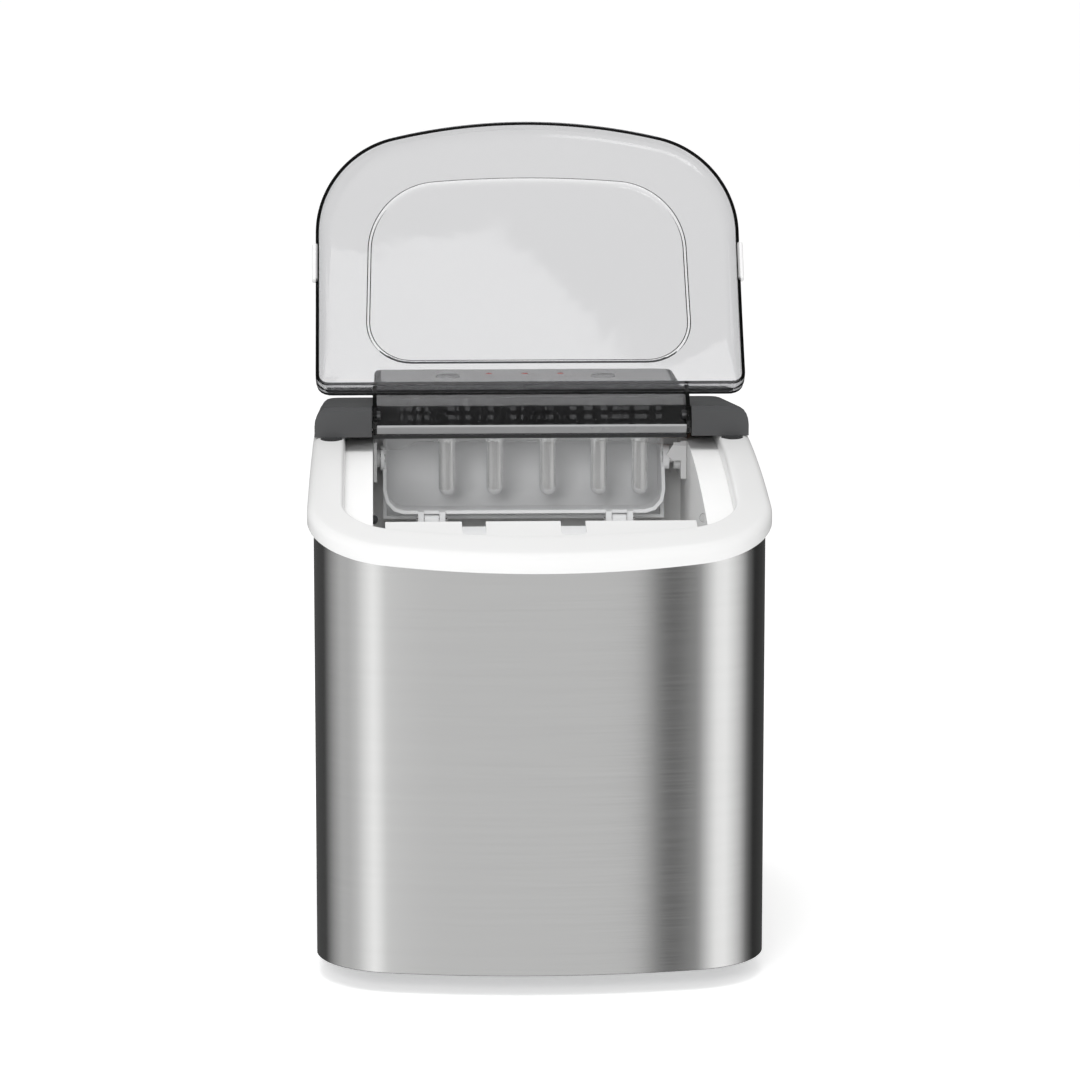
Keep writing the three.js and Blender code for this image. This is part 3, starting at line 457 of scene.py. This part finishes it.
def steelWrap():
    # z runs from the bottom edge to the rim's own curve, up the outer face and down the inner one
    wrap = dict(inset=4.0, sheet=0.8, bottom=12.0, top=6.0, doorHalf=111.0, rows=22)
    outer = planOutline(plan, wrap["inset"])
    inner = planOutline(plan, wrap["inset"] + wrap["sheet"])
    keep = ~((np.abs(outer[:, 0]) < wrap["doorHalf"]) & (outer[:, 1] > 150))
    first = int(np.argmin(keep))  # the outline starts at the far edge of the open back
    order = np.roll(np.arange(len(keep)), -first)
    order = order[keep[order]]
    outer, inner = outer[order], inner[order]
    doorEnds = [(0, -wrap["doorHalf"]), (-1, wrap["doorHalf"])]
    for end, x in doorEnds:
        for line in (outer, inner):
            line[end] = [x, line[end, 1]]
    low = wrap["bottom"] + wrap["sheet"] / 2
    rings = []
    for outline, start, end in ((outer, 0, 1), (inner, 1, 0)):
        top = rimZ(outline[:, 1]) - wrap["top"]
        for level in np.linspace(start, end, wrap["rows"]):
            rings.append(np.column_stack([outline, low + (top - low) * level]))
    middle = (outer + inner) / 2
    rings.append(np.column_stack([middle, np.full(len(middle), wrap["bottom"])]))
    shell = facingOut(loft(rings, wrapRows=True, wrapCols=False))
    return addPiece("steelWrapSheet", shell, looks["steel"], "casing", ["steel_wrap"], 40)


steelWrap()
print("steel wrap")


def whiteRim():
    rim = dict(skirt=11.0, wall=3.0, crease=5.0, lip=2.6, collar=9.0, creaseSteps=8)
    rings = []
    turn = np.linspace(0, np.pi / 2, rim["creaseSteps"])

    def outer(inset, drop):
        rings.append(onRim(planOutline(plan, inset), drop))

    def mouth(inset, drop):
        rings.append(onRim(planOutline(mouthPlan, inset), drop))

    outer(rim["wall"], rim["skirt"])
    outer(0.7, rim["skirt"])
    outer(0.2, rim["skirt"] - 0.2)
    outer(0.0, rim["skirt"] - 0.7)
    for t in turn:
        outer(rim["crease"] * (1 - math.cos(t)), rim["crease"] * (1 - math.sin(t)))
    far, near = planOutline(plan, rim["crease"]), planOutline(mouthPlan, -rim["lip"])
    for step in (0.25, 0.5, 0.75):
        rings.append(onRim(far + (near - far) * step, 0))
    for t in turn:
        mouth(-rim["lip"] * (1 - math.sin(t)), rim["lip"] * (1 - math.cos(t)))
    mouth(0.5, rim["collar"])
    mouth(-rim["wall"], rim["collar"])
    mouth(-rim["wall"], rim["wall"] + 0.2)
    outer(rim["wall"], rim["wall"] + 0.2)
    shell = facingOut(loft(rings, wrapRows=True))
    return addPiece("whiteRim", shell, looks["white_plastic"], "casing", ["top_frame"], 50)


whiteRim()
print("white rim")


# the lid is drawn closed and then turned open about its hinge
hinge = dict(y=29.0, z=328.5, open=math.radians(133))


def lidOpened(points):
    # y and z turned about the hinge by the open angle
    c, s = math.cos(-hinge["open"]), math.sin(-hinge["open"])
    dy, dz = points[:, 1] - hinge["y"], points[:, 2] - hinge["z"]
    return np.column_stack([points[:, 0], hinge["y"] + dy * c - dz * s, hinge["z"] + dy * s + dz * c])


lidRise = dict(front=10, more=5, start=-171, run=200)


def lidTop(y):
    # z = rim + front + more * (y - start) / run
    return rimZ(y) + lidRise["front"] + lidRise["more"] * (y - lidRise["start"]) / lidRise["run"]


def resampled(outline, centre, count):
    # the outline's distance from the centre at equal angles
    rel = outline - centre
    angle = np.arctan2(rel[:, 1], rel[:, 0])
    order = np.argsort(angle)
    angle, rel = angle[order], rel[order]
    angle = np.concatenate([angle - 2 * np.pi, angle, angle + 2 * np.pi])
    rel = np.vstack([rel, rel, rel])
    t = np.linspace(-np.pi, np.pi, count, endpoint=False)
    return centre + np.column_stack([np.interp(t, angle, rel[:, k]) for k in range(2)])


def windowOutline(inset=0.0):
    # front arc, two rounder front corners, straight sides and rear corners, narrower to the front
    shape = dict(half=103.4, rearHalf=104.6, front=-138.5, rear=-12.3, frontArc=760, corner=46, rearCorner=28)
    return planOutline(shape, inset)


def lidShell():
    # rings from the tip out to the skirt on the outer face, and back to the tip on the inner one
    lid = dict(wall=2.2, gap=0.8, skirt=5.0, edgeWidth=8.0, rearWidth=2.2, edgeSteps=9, count=480, groove=1.1)
    centre = np.array([0.0, -80.0])
    plain = [(-4, 0), (4, 0)]
    grooved = [(-4, 0), (-1.3, 0), (-0.8, 0.75), (-0.3, 1), (0.3, 1), (0.8, 0.75), (1.3, 0), (4, 0)]

    def face(inset, sink, steps):
        # a quarter ellipse from the skirt up to the top, then the window with or without its groove
        low = resampled(planOutline(lidPlan, inset), centre, lid["count"])
        drawn = resampled(planOutline(lidPlan, inset + lid["edgeWidth"]), centre, lid["count"])
        share = 1 - (1 - lid["rearWidth"] / lid["edgeWidth"]) * np.clip((low[:, 1] + 25) / 35, 0, 1)
        rings = [np.column_stack([low, rimZ(low[:, 1]) + lid["gap"]])]
        for t in np.linspace(0, np.pi / 2, lid["edgeSteps"]):
            line = low + (drawn - low) * (share * (1 - math.cos(t)))[:, None]
            foot = rimZ(line[:, 1]) + lid["gap"] + lid["skirt"] - sink
            rings.append(np.column_stack([line, foot + (lidTop(line[:, 1]) - sink - foot) * math.sin(t)]))
        for shift, cut in steps:
            line = resampled(windowOutline(shift), centre, lid["count"])
            rings.append(np.column_stack([line, lidTop(line[:, 1]) - sink - cut * lid["groove"]]))
        last = rings[-1][:, :2]
        for k in (0.75, 0.5, 0.25):
            line = centre + (last - centre) * k
            rings.append(np.column_stack([line, lidTop(line[:, 1]) - sink]))
        return rings

    outside = face(0.0, 0.0, grooved)
    inside = face(lid["wall"], lid["wall"], plain)
    points, quads, tris = loft(outside[::-1] + inside)
    points[-2:] = [[*centre, lidTop(centre[1]) - d] for d in (0, lid["wall"])]
    shell = facingOut((lidOpened(points), quads, tris))
    return addPiece("smokyLidShell", shell, looks["smoked_plastic"], "lid", ["lid"], 50)


def lidTongue():
    # a plate with a lip hanging from its rear edge, between two side walls
    tongue = dict(half=101.9, start=12.4, end=43.2, top=331.0, wall=2.2, lip=9.0, side=2.6, sideDrop=11.5,
                  seam=0.05)
    y0, y1, z1, w = tongue["start"], tongue["end"], tongue["top"], tongue["wall"]
    low = z1 - tongue["lip"]
    plateOutline = [
        (y0, z1 - w), (y0, z1 - 0.3), (y0 + 0.3, z1), (y1 - 1.6, z1), (y1 - 0.5, z1 - 0.4), (y1, z1 - 1.5),
        (y1, z1 - w),
    ]
    lipOutline = [
        (y1 - w - 1.6, z1 - w - 0.02), (y1, z1 - w - 0.02), (y1, low + 0.5), (y1 - 0.4, low),
        (y1 - w + 0.4, low), (y1 - w, low + 0.5), (y1 - w, z1 - w - 1.6), (y1 - w - 0.5, z1 - w - 0.5),
    ]
    half = tongue["half"] - tongue["side"] - tongue["seam"]
    plate = alongX(plateOutline, -half, half)
    lip, quads, tris = alongX(lipOutline, -half, half)
    addPiece("frostedTongueLip", (lidOpened(lip), quads, tris), frosted, "lid", [], 40)
    zs = z1 - tongue["sideDrop"]
    wallOutline = [
        (y0 - 4, z1 - 0.8), (y0 - 3.4, z1), (y1 - 1.2, z1), (y1, z1 - 1.2), (y1, zs + 3), (y1 - 3, zs),
        (y0 + 1, zs), (y0 - 4, zs + 3),
    ]
    near, far = half + tongue["seam"], half + tongue["seam"] + tongue["side"]
    walls = [alongX(wallOutline, *ends) for ends in ((-far, -near), (near, far))]
    shells = [(lidOpened(p), q, t) for p, q, t in (plate, *walls)]
    return addPiece("smokyLidTongue", joined(*shells), deepSmoke, "lid", [], 40)


def lidGrips():
    grip = dict(inner=137.2, outer=141.0, front=-90.0, rear=-64.0)
    shells = []
    for side in (-1, 1):
        x = sorted((side * grip["inner"], side * grip["outer"]))
        p, q, t = roundBox((x[0], grip["front"], 1.6), (x[1], grip["rear"], 6.4), 1.5)
        p[:, 2] += rimZ(p[:, 1])
        shells.append((lidOpened(p), q, t))
    return addPiece("lidFingerGrips", joined(*shells), milky, "lid", [], 60)


lidShell()
lidTongue()
lidGrips()
film = dressed("lid_label", printedFilm(), 0)
for pin in ("lid_hinge_pin_left", "lid_hinge_pin_right"):
    dressed(pin, pinSteel, 0.3)
print("lid")


def evaporator():
    cold = dict(radius=5.5, bottom=273.0, header=311.0, front=54.0)
    frontX = [-54, -22.8, 11.7, 44.9, 71.7]
    b, r, h = cold["bottom"], cold["radius"], cold["header"]
    t = np.linspace(0, np.pi / 2, 9)
    nose = [(r * math.sin(a), b + r * (1 - math.cos(a))) for a in t]
    stem = [(r, b + 12), (r, h - 3), (r + 0.9, h - 1.2), (r + 1.6, h + 0.5), (0, h + 0.5)]
    profile = [(0, b)] + nose[1:] + stem
    fingers = [turnedShell(profile, (x, cold["front"], 0), steps=40) for x in frontX]
    header = roundBox((-64, 47.4, h), (81, 80, h + 7), 2.2)
    shell = joined(header, *fingers)
    return addPiece("coldFingers", shell, plated, "casing", ["evaporator"], 40)


evaporator()
print("evaporator")


def bumperPad(side):
    # a low round crown, cut flat at the cover and set on the rim's own slope
    pad = dict(x=128.4, y=12.5, radius=7.2, rear=14.4, raised=0.15)
    r = pad["radius"]
    crown = [(r - 0.3, -0.05), (r * 0.8, 0.15), (r * 0.5, 0.3), (r * 0.2, 0.36), (0, 0.37)]
    profile = [(0, -1.2), (r, -1.2), (r, -0.3)] + crown
    points, quads, tris = turnedShell(profile, steps=56)
    points[:, 1] = np.minimum(points[:, 1], pad["rear"] - pad["y"])
    points = points + [side * pad["x"], pad["y"], 0]
    points[:, 2] += rimZ(points[:, 1]) + pad["raised"]
    name = "left" if side < 0 else "right"
    shell = (points, quads, tris)
    addPiece("lidBumper_" + name, shell, bumperRubber, "casing", ["lid_bumper_" + name], 40)


for side in (-1, 1):
    bumperPad(side)


def foot(node):
    low, high = (np.array(c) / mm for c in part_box(node))
    x, y = (low[:2] + high[:2]) / 2
    tread = [(0, 0), (9.6, 0), (10.6, 0.25), (11.1, 0.9)]
    body = [(11.5, 3), (11.5, 4.6), (12, 5), (12.6, 12.3), (0, 12.3)]
    shell = turnedShell(tread + body, (x, y, 0), steps=48)
    addPiece("rubber_" + node, shell, looks["rubber"], "casing", [node], 40)


for node in ("foot_front_left", "foot_front_right", "foot_rear_left", "foot_rear_right"):
    foot(node)


def sensorDome(side):
    dome = dict(x=101.6, y=-100.0, z=280.7, radius=2.9)
    r = dome["radius"]
    t = np.linspace(0, np.pi / 2, 9)
    profile = [(0, -9)] + [(r, -9), (r, 0)] + [(r * math.cos(a), r * math.sin(a)) for a in t[1:-1]] + [(0, r)]
    points, quads, tris = turnedShell(profile, axis="x", steps=32)
    points[:, 0] *= -side
    points = points + [side * dome["x"], dome["y"], dome["z"]]
    node = "ice_sensor_receiver" if side < 0 else "ice_sensor_emitter"
    look = looks["black_plastic"] if side < 0 else looks["clear_plastic"]
    addPiece("look_" + node, facingOut((points, quads, tris)), look, "casing", [node], 40)


sensorDome(-1)
sensorDome(1)


# every other solid is eased as it is; wider edges where the moulding is thicker
easing = {"rear_cover": 0.5, "ice_basket": 0.7, "water_tray": 0.5, "liner": 0.6, "rear_panel": 0.25,
          "control_panel": 0.25}
ownLook = {"control_panel": panelGrey, "power_button": keyGrey, "select_button": keyGrey, "side_bracket": milky,
           "liner": linerWhite}
for node in frame["nodes"]:
    if node not in finished:
        dressed(node, ownLook.get(node, looks[slotOf(node)]), easing.get(node, 0.3))
print("other solids")


def paleFloor():
    ground = dict(half=70.0, drop=0.0005, color=0.93, rough=0.8, glow=0.40)
    mesh = bpy.data.meshes.new("paleFloor")
    corners = [(-1, -1), (1, -1), (1, 1), (-1, 1)]
    points = [(x * ground["half"], y * ground["half"], -ground["drop"]) for x, y in corners]
    mesh.from_pydata(points, [], [(0, 1, 2, 3)])
    material, tree, shader = newMaterial("paleFloor")
    shader.inputs["Base Color"].default_value = grey(ground["color"])
    shader.inputs["Roughness"].default_value = ground["rough"]
    shader.inputs["Emission Color"].default_value = grey(1)
    shader.inputs["Emission Strength"].default_value = ground["glow"]
    mesh.materials.append(material)
    floor = bpy.data.objects.new("paleFloor", mesh)
    bpy.context.scene.collection.objects.link(floor)
    floor.visible_glossy = False


def studioWorld():
    # even white for the eye and for soft light; bright and dark cards round the object for reflections,
    # each a turn in degrees and a level, fading to one grey overhead
    cards = [(0, 0.10), (30, 0.08), (54, 0.07), (73, 0.42), (89, 0.66), (102, 0.66), (114, 0.80), (126, 1.12),
             (137, 1.34), (146, 1.16), (156, 0.84), (163, 0.79), (199.5, 0.78), (201, 0.56), (203, 0.22),
             (205, 0.10), (208, 0.24), (213, 0.56), (223, 0.90), (233, 1.24), (246, 1.32),
             (258, 1.08), (271, 0.74), (285, 0.22), (300, 0.03), (330, 0.06), (360, 0.10)]
    sky = dict(seen=1.05, soft=0.70, overhead=0.12, fadeFrom=0.35, fadeTo=0.8, strength=0.95)
    world = bpy.data.worlds.new("studio")
    bpy.context.scene.world = world
    world.use_nodes = True
    tree = world.node_tree
    tree.nodes.clear()
    place = tree.nodes.new("ShaderNodeTexCoord")
    apart = tree.nodes.new("ShaderNodeSeparateXYZ")
    tree.links.new(place.outputs["Generated"], apart.inputs["Vector"])
    ahead = worked(tree, "MULTIPLY", apart.outputs["Y"], -1)
    angle = worked(tree, "ARCTAN2", apart.outputs["X"], ahead)
    share = spread(tree, angle, 0, 1, -math.pi, math.pi)
    ramp = tree.nodes.new("ShaderNodeValToRGB")
    marks = ramp.color_ramp.elements
    while len(marks) > 1:
        marks.remove(marks[-1])
    for k, (turn, level) in enumerate(cards):
        mark = marks[0] if k == 0 else marks.new(turn / 360)
        mark.position = turn / 360
        mark.color = grey(level)
    tree.links.new(share, ramp.inputs["Fac"])
    overhead = spread(tree, apart.outputs["Z"], 0, 1, sky["fadeFrom"], sky["fadeTo"])
    reflected = mixed(tree, overhead, ramp.outputs["Color"], grey(sky["overhead"]))
    path = tree.nodes.new("ShaderNodeLightPath")
    even = mixed(tree, path.outputs["Is Diffuse Ray"], grey(sky["seen"]), grey(sky["soft"]))
    mirrored = worked(tree, "SUBTRACT", path.outputs["Is Glossy Ray"], path.outputs["Is Transmission Ray"])
    mirrored.node.use_clamp = True
    back = tree.nodes.new("ShaderNodeBackground")
    tree.links.new(mixed(tree, mirrored, even, reflected), back.inputs["Color"])
    back.inputs["Strength"].default_value = sky["strength"]
    out = tree.nodes.new("ShaderNodeOutputWorld")
    tree.links.new(back.outputs["Background"], out.inputs["Surface"])


def softbox(name, place, size, power, aim):
    data = bpy.data.lights.new(name, "AREA")
    data.shape = "RECTANGLE"
    data.size, data.size_y = size
    data.energy = power
    lamp = bpy.data.objects.new(name, data)
    bpy.context.scene.collection.objects.link(lamp)
    lamp.location = place
    lamp.rotation_euler = (Vector(aim) - Vector(place)).to_track_quat("-Z", "Y").to_euler()
    lamp.visible_glossy = False


def viewpoint():
    view = dict(place=(-0.0971, -2.6, 0.6614), tilt=81.051, yaw=-2.238, lens=137.3)
    data = bpy.data.cameras.new("viewpoint")
    data.sensor_width = 36
    data.lens = view["lens"]
    data.clip_end = 200
    camera = bpy.data.objects.new("viewpoint", data)
    bpy.context.scene.collection.objects.link(camera)
    camera.location = view["place"]
    camera.rotation_euler = (math.radians(view["tilt"]), 0, math.radians(view["yaw"]))
    bpy.context.scene.camera = camera


paleFloor()
studioWorld()
softbox("topLight", (-0.2, -0.4, 1.9), (1.0, 1.0), 13, (0, 0, 0.3))
softbox("frontLight", (-0.4, -2.0, 0.95), (0.9, 0.6), 12.5, (0, 0, 0.28))
viewpoint()
scene = bpy.context.scene
scene.view_settings.view_transform = "Standard"
scene.view_settings.look = "None"
print("stage")
